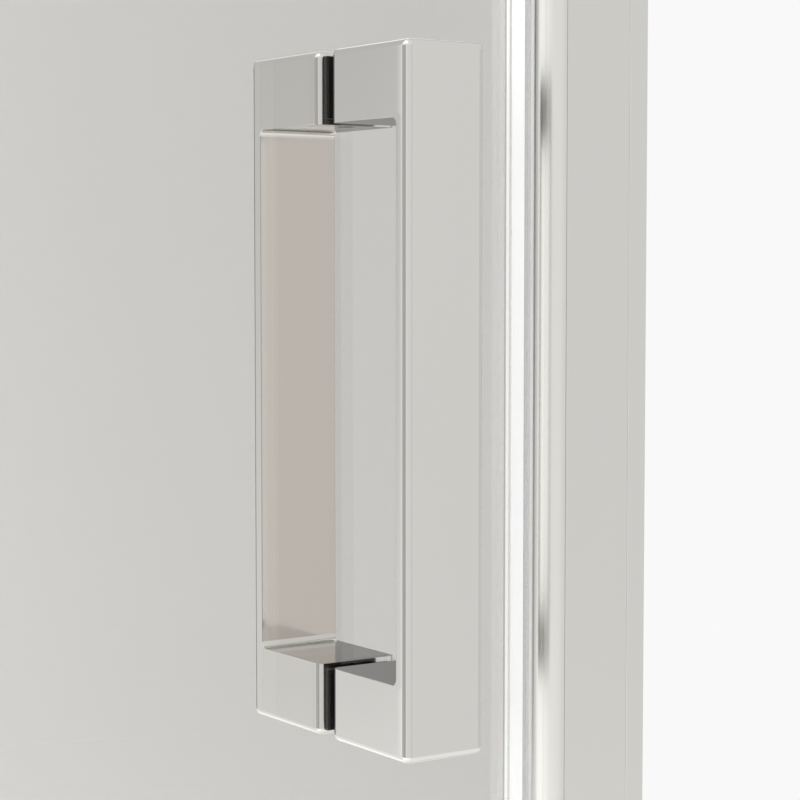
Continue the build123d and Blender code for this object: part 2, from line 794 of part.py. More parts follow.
def handle_half():
    """The outer half: a square grip on two legs, rounded on every outer edge."""
    x = (x_handle, x_handle + HANDLE_WIDTH)
    back = face_front - PAD
    front = back - HANDLE_REACH
    half = HANDLE_LENGTH / 2
    body = block(x, (front, back), span(HANDLE_Z, half))
    body = fillet(body.edges(), HANDLE_ROUND)
    beyond = HANDLE_INNER_ROUND
    opening = block(
        (x[0] - beyond, x[1] + beyond),
        (front + HANDLE_GRIP, back + beyond),
        span(HANDLE_Z, half - HANDLE_LEG),
    )
    corners = opening.edges().filter_by(Axis.X).group_by(Axis.Y)[0]
    return body - fillet(corners, HANDLE_INNER_ROUND)


def outer_handle():
    body = handle_half()
    for x, z in handle_bolt_places():
        body -= rod(STUD_R + PRESS, (x, face_front - PAD, z), OUTWARD, STUD_DEPTH)
    return body


def set_screw_spans():
    """From the face that each set screw enters, up to the stud: both are reached from below."""
    half = HANDLE_LENGTH / 2
    low, high = (z for x, z in handle_bolt_places())
    return [(HANDLE_Z - half, low - STUD_R), (HANDLE_Z + half - HANDLE_LEG, high - STUD_R)]


def inner_handle():
    body = mirror(handle_half(), about=Plane.XZ.offset(-y_door))
    for x, z in handle_bolt_places():
        body -= rod(STUD_R + PRESS, (x, face_back + PAD, z), INWARD, STUD_DEPTH)
    y = face_back + PAD + SET_SCREW_OFFSET
    for low, high in set_screw_spans():
        body -= rod(SET_SCREW_R + PRESS, (x_handle + HANDLE_WIDTH / 2, y, low), UP, high - low)
    return body


def handle_studs():
    depth = STUD_DEPTH - STUD_END_GAP
    length = GLASS + 2 * PAD + 2 * depth
    start_y = face_front - PAD - depth
    return [rod(STUD_R, (x, start_y, z), INWARD, length) for x, z in handle_bolt_places()]


def handle_set_screws():
    x = x_handle + HANDLE_WIDTH / 2
    y = face_back + PAD + SET_SCREW_OFFSET
    screws = []
    for low, high in set_screw_spans():
        start = (x, y, low + SET_SCREW_SUNK)
        body = rod(SET_SCREW_R, start, UP, high - low - SET_SCREW_SUNK)
        screws.append(body - rod(SOCKET_R, start, UP, SOCKET_DEPTH))
    return screws


def handle_gaskets():
    inset = HANDLE_PAD_INSET
    pads = []
    for x, z in handle_bolt_places():
        for y in (face_front - PAD, face_back):
            outline_x = span(x, HANDLE_WIDTH / 2 - inset)
            pad = block(outline_x, (y, y + PAD), span(z, HANDLE_LEG / 2 - inset))
            pads.append(pad - rod(STUD_R + FIT, (x, y, z), INWARD, PAD))
    return pads


def handle_sleeves():
    outer, inner = STUD_HOLE_R - FIT, STUD_R + SCREW_CLEAR
    return [ring(outer, inner, (x, face_front, z), INWARD, GLASS) for x, z in handle_bolt_places()]


os.makedirs("parts", exist_ok=True)

# Fixed frame
save("wall_channel_front", wall_channel_front())
save("wall_channel_side", wall_channel_side())
save("hinge_jamb", hinge_jamb())
save("side_jamb", side_jamb())
save("corner_post", corner_post())
save("corner_cover", corner_cover())
save("header_rail", header_rail())
save("threshold_rail", threshold_rail())
save("side_top_rail", side_top_rail())
save("side_bottom_rail", side_bottom_rail())
save("header_brackets", *front_brackets("header"))
save("threshold_brackets", *front_brackets("threshold"))
save("side_rail_brackets", *side_rail_brackets())
save("bracket_screws", *bracket_screws())
save("jamb_screws", *jamb_screws())
save("jamb_screw_caps", *jamb_screw_caps())
save("corner_post_cap", corner_post_cap())
save("front_channel_cap", front_channel_cap())
save("side_channel_cap", side_channel_cap())
save("side_glass", side_glass())
save("side_glass_outer_gaskets", *side_gaskets((x_glass + GLASS / 2, x_out - WALL)))
save("side_glass_inner_gaskets", *side_gaskets((x_track + WALL, x_glass - GLASS / 2)))
save("setting_blocks", *setting_blocks())
save("post_magnet_strip", post_magnet_strip())

# Hinges
for place, height in hinge_heights.items():
    save(f"{place}_hinge_bracket", hinge_bracket(height))
    save(f"{place}_hinge_bushes", *hinge_bushes(height))
    seats = hinge_bracket_screw_seats(height)
    save(f"{place}_hinge_bracket_screws", *[screw(*seat) for seat in seats])
    save(f"{place}_hinge_pin", hinge_pin(height))
    save(f"{place}_hinge_core", hinge_core(height))
    save(f"{place}_hinge_outer_plate", hinge_outer_plate(height))
    save(f"{place}_hinge_inner_plate", hinge_inner_plate(height))
    save(f"{place}_hinge_plate_screws", *hinge_plate_screws(height))
    save(f"{place}_hinge_pads", *hinge_pads(height))

# Door
save("door_glass", door_glass())
save("door_magnet_seal", door_magnet_seal())
save("door_magnet", door_magnet())
save("seal_bond_strip", seal_bond_strip())
save("door_hinge_seal", *door_hinge_seal())
save("door_bottom_seal", door_bottom_seal())
save("outer_handle", outer_handle())
save("inner_handle", inner_handle())
save("handle_studs", *handle_studs())
save("handle_set_screws", *handle_set_screws())
save("handle_gaskets", *handle_gaskets())
save("handle_sleeves", *handle_sleeves())
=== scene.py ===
"""Corner shower enclosure: finishes, shaped pieces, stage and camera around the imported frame."""

import json
import math

import bmesh
import bpy
from bpy.props import FloatProperty, FloatVectorProperty, IntProperty, PointerProperty
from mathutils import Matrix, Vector

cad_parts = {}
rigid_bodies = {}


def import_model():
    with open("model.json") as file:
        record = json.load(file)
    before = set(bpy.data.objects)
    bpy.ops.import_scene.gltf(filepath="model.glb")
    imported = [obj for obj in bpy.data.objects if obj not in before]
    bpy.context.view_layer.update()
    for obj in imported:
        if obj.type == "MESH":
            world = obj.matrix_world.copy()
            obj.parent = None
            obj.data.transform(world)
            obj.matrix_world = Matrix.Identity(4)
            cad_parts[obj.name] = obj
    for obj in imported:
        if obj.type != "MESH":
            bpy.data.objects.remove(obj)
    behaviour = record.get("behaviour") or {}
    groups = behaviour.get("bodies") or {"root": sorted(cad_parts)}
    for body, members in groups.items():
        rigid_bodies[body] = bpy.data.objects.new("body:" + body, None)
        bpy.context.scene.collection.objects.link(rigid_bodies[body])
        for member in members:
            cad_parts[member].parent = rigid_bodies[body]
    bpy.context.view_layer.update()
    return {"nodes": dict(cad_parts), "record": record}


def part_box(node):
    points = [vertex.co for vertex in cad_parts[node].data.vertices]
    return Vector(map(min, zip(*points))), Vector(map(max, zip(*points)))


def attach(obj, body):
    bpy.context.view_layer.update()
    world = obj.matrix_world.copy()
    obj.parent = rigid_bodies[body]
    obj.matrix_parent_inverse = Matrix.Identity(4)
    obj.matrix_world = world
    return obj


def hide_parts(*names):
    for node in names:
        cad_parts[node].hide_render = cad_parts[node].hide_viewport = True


bl_info = {
    "name": "Corner shower enclosure",
    "version": (1, 0, 0),
    "blender": (4, 5, 0),
    "location": "3D View > Sidebar > Enclosure",
    "description": "Dresses the packed frame of a corner shower enclosure with finishes and shaped pieces",
    "category": "Object",
}

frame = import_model()
nodes = frame["nodes"]

MERGE = 1e-5
FLAT_ANGLE = math.radians(0.5)
SHARP_ANGLE = math.radians(30)
ON_FACE = 1e-5
FACING = 0.9
LEVEL = 0.05
SQUARE_ON = 0.999
OVERSHOOT = 0.001


# Settings


def length(name, description, default):
    return FloatProperty(name=name, description=description, default=default, unit="LENGTH", precision=5)


def color(name, description, default):
    return FloatVectorProperty(
        name=name, description=description, default=default, subtype="COLOR", min=0, max=1
    )


def share(name, description, default):
    return FloatProperty(name=name, description=description, default=default, min=0, max=1, subtype="FACTOR")


def power(name, description, default):
    return FloatProperty(name=name, description=description, default=default, unit="POWER")


class FinishSettings(bpy.types.PropertyGroup):
    metal: color("Satin nickel", "Colour of the profiles, hinges and handle", (0.604, 0.597, 0.571))
    metal_roughness: share("Satin roughness", "How dull the satin nickel is", 0.11)
    profile_roughness: share("Profile roughness", "How dull the anodised profiles are", 0.26)
    # Painted dark reflection: the two edge colours are darker than the satin nickel only to stand for the
    # dark line mirrored along the handle's rounded edges.
    edge_near: color("Side edge", "Rounded edge next to a side face", (0.26, 0.255, 0.24))
    edge_far: color("Front edge", "Rounded edge next to the front face", (0.52, 0.515, 0.495))
    # Painted warm reflection: the inner grip's face behind the glass is tinted and darkened to stand for the
    # metal mirrored in it.
    inner_face: color("Inner face", "Face of the inner grip behind the glass", (0.544, 0.512, 0.476))
    steel: color("Screw steel", "Colour of screws, studs and pins", (0.48, 0.48, 0.47))
    glass: color("Glass", "What one pane lets through", (0.935, 0.921, 0.903))
    glass_edge: color("Glass edge", "Polished rim of a pane", (0.72, 0.80, 0.77))
    vinyl: color("Clear vinyl", "Soft clear seals", (0.92, 0.93, 0.93))
    vinyl_cover: share("Vinyl cover", "How much the clear vinyl hides what is behind it", 0.06)
    lip_cover: share("Lip cover", "How much the milky lip of the edge seal hides", 0.85)
    bulb: color("Soft bulb", "Bulb of the edge seal", (0.62, 0.625, 0.625))
    bulb_cover: share("Bulb cover", "How much the soft bulb of the edge seal hides", 0.3)
    # Painted shade: this darker colour sits on the rounded left edge of the seal's milky ridge.
    lip_end: color("Lip end", "Cut end of the milky lip", (0.42, 0.42, 0.41))
    strip: color("Bond strip", "White strip in the edge seal", (0.96, 0.96, 0.955))
    rubber: color("Rubber", "Gaskets and pads", (0.008, 0.008, 0.008))
    plastic: color("Plastic", "Caps matched to the metal", (0.46, 0.455, 0.44))
    bearing: color("Bearing plastic", "Bushes and sleeves", (0.68, 0.67, 0.64))
    magnet: color("Magnet strip", "Flexible magnet in pale grey vinyl", (0.84, 0.84, 0.83))


class HandleSettings(bpy.types.PropertyGroup):
    grip: length("Grip", "Thickness of the grip bar", 0.00525)
    leg: length("Leg", "Height of each leg", 0.0213)
    edge_round: length("Edge round", "Radius of the outer edges", 0.002)
    inner_round: length("Inner round", "Radius inside the two corners", 0.002)
    edge_break: length("Edge break", "Small round along the edges of the opening", 0.00025)
    # Sorts the rounded edges between the darker and the lighter painted dark reflection.
    dark_side_edge_share: share("Side edge share", "How far a face turns to the side to count as side edge", 0.79)
    round_steps: IntProperty(name="Round steps", description="Faces across each round edge", default=5, min=2)
    stud_hole: length("Stud hole", "Radius of the holes that the studs go in", 0.00302)
    stud_depth: length("Stud depth", "Depth of those holes", 0.012)
    screw_hole: length("Set screw hole", "Radius of the holes for the set screws", 0.00252)


class EdgeSettings(bpy.types.PropertyGroup):
    glass_arris: length("Glass arris", "Ground flat along the edges of a pane", 0.0007)
    vinyl_round: length("Seal round", "Radius of the seals' edges", 0.00018)
    ridge_edge: length("Ridge edge", "Where the rounded left edge of the seal's ridge begins", 0.0003)
    ridge_face: length("Ridge face", "Where the ridge's milky face begins", 0.00095)
    ridge_end: length("Ridge end", "Where the ridge's milky face ends", 0.0024)
    strip_round: length("Strip round", "Radius of the strips' edges", 0.0001)
    strip_skirt: length("Strip skirt", "Reach of the post strip's soft edge beside the nose", 0.0005)
    rubber_round: length("Rubber round", "Radius of the gaskets' edges", 0.00015)
    leg_reach: length("Stop leg reach", "Width of the post's stop leg", 0.0131)
    leg_thick: length("Stop leg thickness", "Thickness of the post's stop leg", 0.0015)
    leg_round: length("Stop leg round", "Radius of the stop leg's edges", 0.0002)
    hinge_round: length("Hinge round", "Radius of the hinge plates' edges", 0.0003)
    cap_round: length("Cap round", "Radius of the plastic caps' edges", 0.0005)
    snap_round: length("Snap cap round", "Radius of the screw caps' rims", 0.0009)


class StageSettings(bpy.types.PropertyGroup):
    camera_place: FloatVectorProperty(
        name="Camera",
        description="Place of the camera",
        default=(0.003961, -0.970267, 1.039464),
        unit="LENGTH",
    )
    camera_yaw: FloatProperty(
        name="Yaw",
        description="Turn of the camera to the right of +Y",
        default=math.radians(33.853),
        unit="ROTATION",
    )
    camera_pitch: FloatProperty(
        name="Pitch",
        description="Tilt of the camera below level",
        default=math.radians(3.643),
        unit="ROTATION",
    )
    camera_lens: FloatProperty(name="Lens", description="Focal length in millimetres", default=98.522)
    backdrop: share("Backdrop", "White that is seen behind everything", 0.947)
    floor: share("Floor", "Share of the light that the floor gives back", 0.6)
    floor_lit: share("Lit floor", "How bright the floor is by its own light and lamps", 0.52)
    floor_radius: length("Floor radius", "Reach of the round floor", 9.0)
    shade_reach: length("Shade reach", "Distance within which the floor keeps the shadow", 3.5)
    room_light: FloatProperty(name="Room light", description="Strength of the light all round", default=0.8)
    glass_sees: share("Behind glass", "White that the glass shows away from the grey wall", 0.93)
    lamp_above: power("Lamp above", "Power of the softbox above", 14.0)
    lamp_front: power("Lamp in front", "Power of the front softbox", 50.0)


# Shader nodes


def add_node(tree, kind, inputs=None, **values):
    """A new node with its properties and the plain values of its inputs set."""
    node = tree.nodes.new(kind)
    for name, value in values.items():
        setattr(node, name, value)
    for name, value in (inputs or {}).items():
        node.inputs[name].default_value = value
    return node


def wire(tree, output, target):
    tree.links.new(output, target)


def maths(tree, operation, first, second, clamp=False):
    """A math node, each side of which is a socket or a number."""
    node = add_node(tree, "ShaderNodeMath", operation=operation, use_clamp=clamp)
    for place, value in enumerate((first, second)):
        if isinstance(value, bpy.types.NodeSocket):
            wire(tree, value, node.inputs[place])
        else:
            node.inputs[place].default_value = value
    return node.outputs[0]


def new_group(name, inputs, outputs):
    """A node group with named inputs, given with their defaults, and named outputs."""
    group = bpy.data.node_groups.new(name, "ShaderNodeTree")
    for label, kind, default in inputs:
        socket = group.interface.new_socket(name=label, in_out="INPUT", socket_type=kind)
        if default is not None:
            socket.default_value = default
    for label, kind in outputs:
        group.interface.new_socket(name=label, in_out="OUTPUT", socket_type=kind)
    enter = group.nodes.new("NodeGroupInput")
    leave = group.nodes.new("NodeGroupOutput")
    return group, enter, leave


def drawn_grain_group():
    """Fine lines that run along a drawn or brushed piece, as a tone about 1 and a height."""
    group, enter, leave = new_group(
        "Drawn grain",
        [
            ("Vector", "NodeSocketVector", None),
            ("Stretch", "NodeSocketVector", (1.0, 1.0, 1.0)),
            ("Strength", "NodeSocketFloat", 0.02),
        ],
        [("Tone", "NodeSocketFloat"), ("Height", "NodeSocketFloat")],
    )
    mapping = add_node(group, "ShaderNodeMapping")
    wire(group, enter.outputs["Vector"], mapping.inputs["Vector"])
    wire(group, enter.outputs["Stretch"], mapping.inputs["Scale"])
    fine = add_node(group, "ShaderNodeTexNoise", {"Scale": 1.0, "Detail": 3.0, "Roughness": 0.6})
    wire(group, mapping.outputs["Vector"], fine.inputs["Vector"])
    centred = maths(group, "SUBTRACT", fine.outputs["Fac"], 0.5)
    scaled = maths(group, "MULTIPLY", centred, enter.outputs["Strength"])
    wire(group, maths(group, "ADD", scaled, 1.0), leave.inputs["Tone"])
    wire(group, fine.outputs["Fac"], leave.inputs["Height"])
    return group


def soft_clouds_group():
    """Slow variation over a surface, as a tone about 1."""
    group, enter, leave = new_group(
        "Soft clouds",
        [
            ("Vector", "NodeSocketVector", None),
            ("Scale", "NodeSocketFloat", 6.0),
            ("Strength", "NodeSocketFloat", 0.05),
        ],
        [("Tone", "NodeSocketFloat")],
    )
    cloud = add_node(group, "ShaderNodeTexNoise", {"Detail": 2.0, "Roughness": 0.5})
    wire(group, enter.outputs["Vector"], cloud.inputs["Vector"])
    wire(group, enter.outputs["Scale"], cloud.inputs["Scale"])
    centred = maths(group, "SUBTRACT", cloud.outputs["Fac"], 0.5)
    scaled = maths(group, "MULTIPLY", centred, enter.outputs["Strength"])
    wire(group, maths(group, "ADD", scaled, 1.0), leave.inputs["Tone"])
    return group


def fine_pits_group():
    """The small even pits of moulded plastic or rubber, as a height."""
    group, enter, leave = new_group(
        "Moulded pits",
        [("Vector", "NodeSocketVector", None), ("Scale", "NodeSocketFloat", 900.0)],
        [("Height", "NodeSocketFloat")],
    )
    pits = add_node(group, "ShaderNodeTexNoise", {"Detail": 1.0, "Roughness": 0.4})
    wire(group, enter.outputs["Vector"], pits.inputs["Vector"])
    wire(group, enter.outputs["Scale"], pits.inputs["Scale"])
    wire(group, pits.outputs["Fac"], leave.inputs["Height"])
    return group


def new_material(name):
    """An empty material, its tree, its output and a principled shader."""
    material = bpy.data.materials.new(name)
    material.use_nodes = True
    tree = material.node_tree
    tree.nodes.clear()
    output = add_node(tree, "ShaderNodeOutputMaterial")
    shader = add_node(tree, "ShaderNodeBsdfPrincipled")
    wire(tree, shader.outputs["BSDF"], output.inputs["Surface"])
    return material, tree, output, shader


def place_group(tree, group, coordinates, **values):
    """A group placed in a material, reading the object's own coordinates."""
    node = add_node(tree, "ShaderNodeGroup", node_tree=group)
    wire(tree, coordinates.outputs["Object"], node.inputs["Vector"])
    for name, value in values.items():
        node.inputs[name].default_value = value
    return node


def tinted(tree, base, tones):
    """A colour times one or more tones, as a socket."""
    factor = tones[0]
    for tone in tones[1:]:
        factor = maths(tree, "MULTIPLY", factor, tone)
    scale = add_node(tree, "ShaderNodeVectorMath", operation="SCALE")
    scale.inputs[0].default_value = base
    wire(tree, factor, scale.inputs["Scale"])
    return scale.outputs["Vector"]


def bump_from(tree, height, distance, shader):
    bump = add_node(tree, "ShaderNodeBump", {"Strength": 0.25, "Distance": distance})
    wire(tree, height, bump.inputs["Height"])
    wire(tree, bump.outputs["Normal"], shader.inputs["Normal"])


def metal_material(name, base, roughness, stretch, groups, grain=0.01, depth=2e-7):
    """Satin metal: fine lines along the stretch, with a slow change of tone and dullness."""
    material, tree, _, shader = new_material(name)
    coordinates = add_node(tree, "ShaderNodeTexCoord")
    lines = place_group(tree, groups["grain"], coordinates, Stretch=stretch, Strength=grain)
    clouds = place_group(tree, groups["clouds"], coordinates, Scale=9.0, Strength=0.015)
    dull = place_group(tree, groups["clouds"], coordinates, Scale=23.0, Strength=0.12)
    shader.inputs["Metallic"].default_value = 1.0
    tones = [lines.outputs["Tone"], clouds.outputs["Tone"]]
    wire(tree, tinted(tree, base, tones), shader.inputs["Base Color"])
    wire(tree, maths(tree, "MULTIPLY", dull.outputs["Tone"], roughness), shader.inputs["Roughness"])
    bump_from(tree, lines.outputs["Height"], depth, shader)
    return material


def moulded_material(name, base, roughness, groups, pit_scale=700.0, pit_depth=8e-6, tone=0.06):
    """Plastic or rubber with moulded pits and a slow change of tone."""
    material, tree, _, shader = new_material(name)
    coordinates = add_node(tree, "ShaderNodeTexCoord")
    clouds = place_group(tree, groups["clouds"], coordinates, Scale=30.0, Strength=tone)
    pits = place_group(tree, groups["pits"], coordinates, Scale=pit_scale)
    wire(tree, tinted(tree, base, [clouds.outputs["Tone"]]), shader.inputs["Base Color"])
    wire(tree, maths(tree, "MULTIPLY", clouds.outputs["Tone"], roughness), shader.inputs["Roughness"])
    bump_from(tree, pits.outputs["Height"], pit_depth, shader)
    return material


def clear_material(name, base, roughness, transmission, groups, ior=1.5, tone=0.02):
    """Glass or clear vinyl, which lets the lamps' light through instead of casting a hard shadow."""
    material, tree, output, shader = new_material(name)
    coordinates = add_node(tree, "ShaderNodeTexCoord")
    clouds = place_group(tree, groups["clouds"], coordinates, Scale=4.0, Strength=tone)
    wire(tree, tinted(tree, base, [clouds.outputs["Tone"]]), shader.inputs["Base Color"])
    shader.inputs["Roughness"].default_value = roughness
    shader.inputs["IOR"].default_value = ior
    shader.inputs["Transmission Weight"].default_value = transmission
    light_path = add_node(tree, "ShaderNodeLightPath")
    through = add_node(tree, "ShaderNodeBsdfTransparent", {"Color": (*base, 1.0)})
    mix = add_node(tree, "ShaderNodeMixShader")
    wire(tree, light_path.outputs["Is Shadow Ray"], mix.inputs["Fac"])
    wire(tree, shader.outputs["BSDF"], mix.inputs[1])
    wire(tree, through.outputs["BSDF"], mix.inputs[2])
    wire(tree, mix.outputs["Shader"], output.inputs["Surface"])
    return material


def vinyl_material(name, base, cover, groups):
    """Soft vinyl as a thin skin that hides a share of what is behind it."""
    material, tree, _, shader = new_material(name)
    coordinates = add_node(tree, "ShaderNodeTexCoord")
    clouds = place_group(tree, groups["clouds"], coordinates, Scale=40.0, Strength=0.02)
    pits = place_group(tree, groups["pits"], coordinates, Scale=300.0)
    wire(tree, tinted(tree, base, [clouds.outputs["Tone"]]), shader.inputs["Base Color"])
    wire(tree, maths(tree, "MULTIPLY", clouds.outputs["Tone"], 0.16), shader.inputs["Roughness"])
    shader.inputs["Alpha"].default_value = cover
    bump_from(tree, pits.outputs["Height"], 4e-6, shader)
    return material


ALONG_Z = (900.0, 900.0, 14.0)
ALONG_X = (14.0, 900.0, 900.0)
ALONG_Y = (900.0, 14.0, 900.0)
ALL_WAYS = (400.0, 400.0, 400.0)
materials = {}


def make_materials(finish):
    """Every finish, by a plain name."""
    groups = {"grain": drawn_grain_group(), "clouds": soft_clouds_group(), "pits": fine_pits_group()}
    metal, steel = Vector(finish.metal), Vector(finish.steel)
    for name, stretch in (("upright_profile", ALONG_Z), ("front_rail", ALONG_X), ("side_rail", ALONG_Y)):
        materials[name] = metal_material(name, metal, finish.profile_roughness, stretch, groups)
    satin = finish.metal_roughness
    materials["handle_metal"] = metal_material("handle_metal", metal, satin, ALONG_Z, groups, grain=0.006)
    # Handle metals with painted light: a dark reflection on the rounded edges and a warm reflection on the
    # inner face.
    for name in ("edge_near", "edge_far", "inner_face"):
        base = Vector(getattr(finish, name))
        materials[name] = metal_material(name, base, satin, ALONG_Z, groups, grain=0.006)
    materials["hinge_metal"] = metal_material("hinge_metal", metal, satin, ALONG_X, groups, grain=0.02)
    materials["screw_steel"] = metal_material("screw_steel", steel, 0.22, ALL_WAYS, groups, grain=0.08)
    materials["clear_glass"] = clear_material("clear_glass", finish.glass, 0.0, 1.0, groups, tone=0.004)
    materials["glass_edge"] = clear_material("glass_edge", finish.glass_edge, 0.22, 0.75, groups)
    materials["clear_vinyl"] = vinyl_material("clear_vinyl", Vector(finish.vinyl), finish.vinyl_cover, groups)
    materials["milky_lip"] = vinyl_material("milky_lip", Vector(finish.vinyl), finish.lip_cover, groups)
    materials["soft_bulb"] = vinyl_material("soft_bulb", Vector(finish.bulb), finish.bulb_cover, groups)
    materials["lip_end"] = vinyl_material("lip_end", Vector(finish.lip_end), finish.lip_cover, groups)
    materials["white_strip"] = moulded_material("white_strip", Vector(finish.strip), 0.5, groups, tone=0.02)
    rubber = moulded_material("black_rubber", Vector(finish.rubber), 0.6, groups, 1200.0, 1e-5, 0.3)
    rubber.node_tree.nodes["Principled BSDF"].inputs["Specular IOR Level"].default_value = 0.15
    materials["black_rubber"] = rubber
    materials["grey_plastic"] = moulded_material("grey_plastic", Vector(finish.plastic), 0.42, groups)
    materials["bearing_plastic"] = moulded_material("bearing_plastic", Vector(finish.bearing), 0.38, groups)
    magnet = Vector(finish.magnet)
    materials["magnet_strip"] = moulded_material("magnet_strip", magnet, 0.6, groups, 500.0, 1.5e-5)


# Which finish each CAD node takes where its slot alone doesn't say

FRONT_RAILS = ("header_rail", "threshold_rail", "header_brackets", "threshold_brackets")
SIDE_RAILS = ("side_top_rail", "side_bottom_rail", "side_rail_brackets")


def finish_of(node, slot):
    if slot != "profile_metal":
        return slot
    if node in FRONT_RAILS:
        return "front_rail"
    return "side_rail" if node in SIDE_RAILS else "upright_profile"


# Modelling helpers


def select_only(piece):
    bpy.ops.object.select_all(action="DESELECT")
    piece.select_set(True)
    bpy.context.view_layer.objects.active = piece


def start_block(name, low, high):
    """A cube primitive at its real size, with its place in its mesh."""
    bpy.ops.object.select_all(action="DESELECT")
    bpy.ops.mesh.primitive_cube_add(size=1, location=(Vector(low) + Vector(high)) / 2)
    piece = bpy.context.object
    piece.name = piece.data.name = name
    piece.scale = Vector(high) - Vector(low)
    bpy.ops.object.transform_apply(location=True, rotation=False, scale=True)
    return piece


def start_rod(name, radius, start, end, sides=32):
    """A cylinder primitive along Z or Y between two points, with its place in its mesh."""
    start, end = Vector(start), Vector(end)
    run = end - start
    bpy.ops.object.select_all(action="DESELECT")
    bpy.ops.mesh.primitive_cylinder_add(
        vertices=sides, radius=radius, depth=run.length, location=(start + end) / 2,
        rotation=run.to_track_quat("Z", "Y").to_euler(),
    )
    piece = bpy.context.object
    piece.name = piece.data.name = name
    bpy.ops.object.transform_apply(location=True, rotation=True, scale=True)
    return piece


def pick(piece, kind, test):
    """In edit mode, select just the faces or edges that pass a test."""
    bpy.ops.mesh.select_mode(type="FACE" if kind == "faces" else "EDGE")
    bpy.ops.mesh.select_all(action="DESELECT")
    mesh = bmesh.from_edit_mesh(piece.data)
    for part in getattr(mesh, kind):
        part.select_set(test(part))
    mesh.select_flush_mode()
    bmesh.update_edit_mesh(piece.data)


def middle(edge):
    return (edge.verts[0].co + edge.verts[1].co) / 2


def sharp(edge):
    return len(edge.link_faces) == 2 and edge.calc_face_angle() > SHARP_ANGLE


def cut_away(piece, cutter):
    """Take one closed shape out of another."""
    select_only(piece)
    modifier = piece.modifiers.new("Cut", "BOOLEAN")
    modifier.operation, modifier.solver, modifier.object = "DIFFERENCE", "EXACT", cutter
    bpy.ops.object.modifier_apply(modifier=modifier.name)
    bpy.data.objects.remove(cutter)


def even_shading(piece):
    """Smooth over round edges, while flat faces stay flat."""
    select_only(piece)
    bpy.ops.object.shade_smooth_by_angle(angle=SHARP_ANGLE)
    modifier = piece.modifiers.new("Flat faces", "WEIGHTED_NORMAL")
    modifier.keep_sharp = True
    bpy.ops.object.modifier_apply(modifier=modifier.name)


def round_edges(piece, width, steps=2):
    """Round every sharp edge of a whole piece."""
    select_only(piece)
    modifier = piece.modifiers.new("Edges", "BEVEL")
    modifier.width, modifier.segments = width, steps
    modifier.limit_method, modifier.angle_limit = "ANGLE", SHARP_ANGLE
    modifier.use_clamp_overlap = False
    bpy.ops.object.modifier_apply(modifier=modifier.name)


def merged_copy(node, name):
    """A copy of a CAD node as one clean mesh, with flat areas as single faces."""
    select_only(nodes[node])
    bpy.ops.object.duplicate()
    piece = bpy.context.object
    piece.name = piece.data.name = name
    for key in list(piece.keys()):
        del piece[key]
    bpy.ops.object.parent_clear(type="CLEAR_KEEP_TRANSFORM")
    bpy.ops.mesh.customdata_custom_splitnormals_clear()
    bpy.ops.object.mode_set(mode="EDIT")
    bpy.ops.mesh.select_all(action="SELECT")
    bpy.ops.mesh.remove_doubles(threshold=MERGE)
    bpy.ops.mesh.dissolve_limited(angle_limit=FLAT_ANGLE)
    bpy.ops.object.mode_set(mode="OBJECT")
    return piece


def dress(piece, body, slot, *finishes):
    """Give a finished piece its body and its materials: the finishes given, or else the one that the slot
    names.
    """
    piece.data.materials.clear()
    for name in finishes or (slot,):
        piece.data.materials.append(materials[name])
    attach(piece, body)


def soft_copy(node, name, body, slot, width, steps=2):
    """A CAD node's shape with its edges rounded as the real soft or moulded piece has them."""
    piece = merged_copy(node, name)
    round_edges(piece, width, steps)
    even_shading(piece)
    dress(piece, body, slot)
    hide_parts(node)
    return piece


def island_boxes(node):
    """Lowest and highest corner of each separate solid of a CAD node."""
    mesh = bmesh.new()
    mesh.from_mesh(nodes[node].data)
    bmesh.ops.remove_doubles(mesh, verts=mesh.verts, dist=MERGE)
    left, boxes = set(mesh.verts), []
    while left:
        island, edge_of = set(), [left.pop()]
        while edge_of:
            vertex = edge_of.pop()
            island.add(vertex)
            near = {e.other_vert(vertex) for e in vertex.link_edges} & left
            left -= near
            edge_of.extend(near)
        corners = [[f(v.co[axis] for v in island) for axis in range(3)] for f in (min, max)]
        boxes.append((Vector(corners[0]), Vector(corners[1])))
    mesh.free()
    return boxes


# Pieces


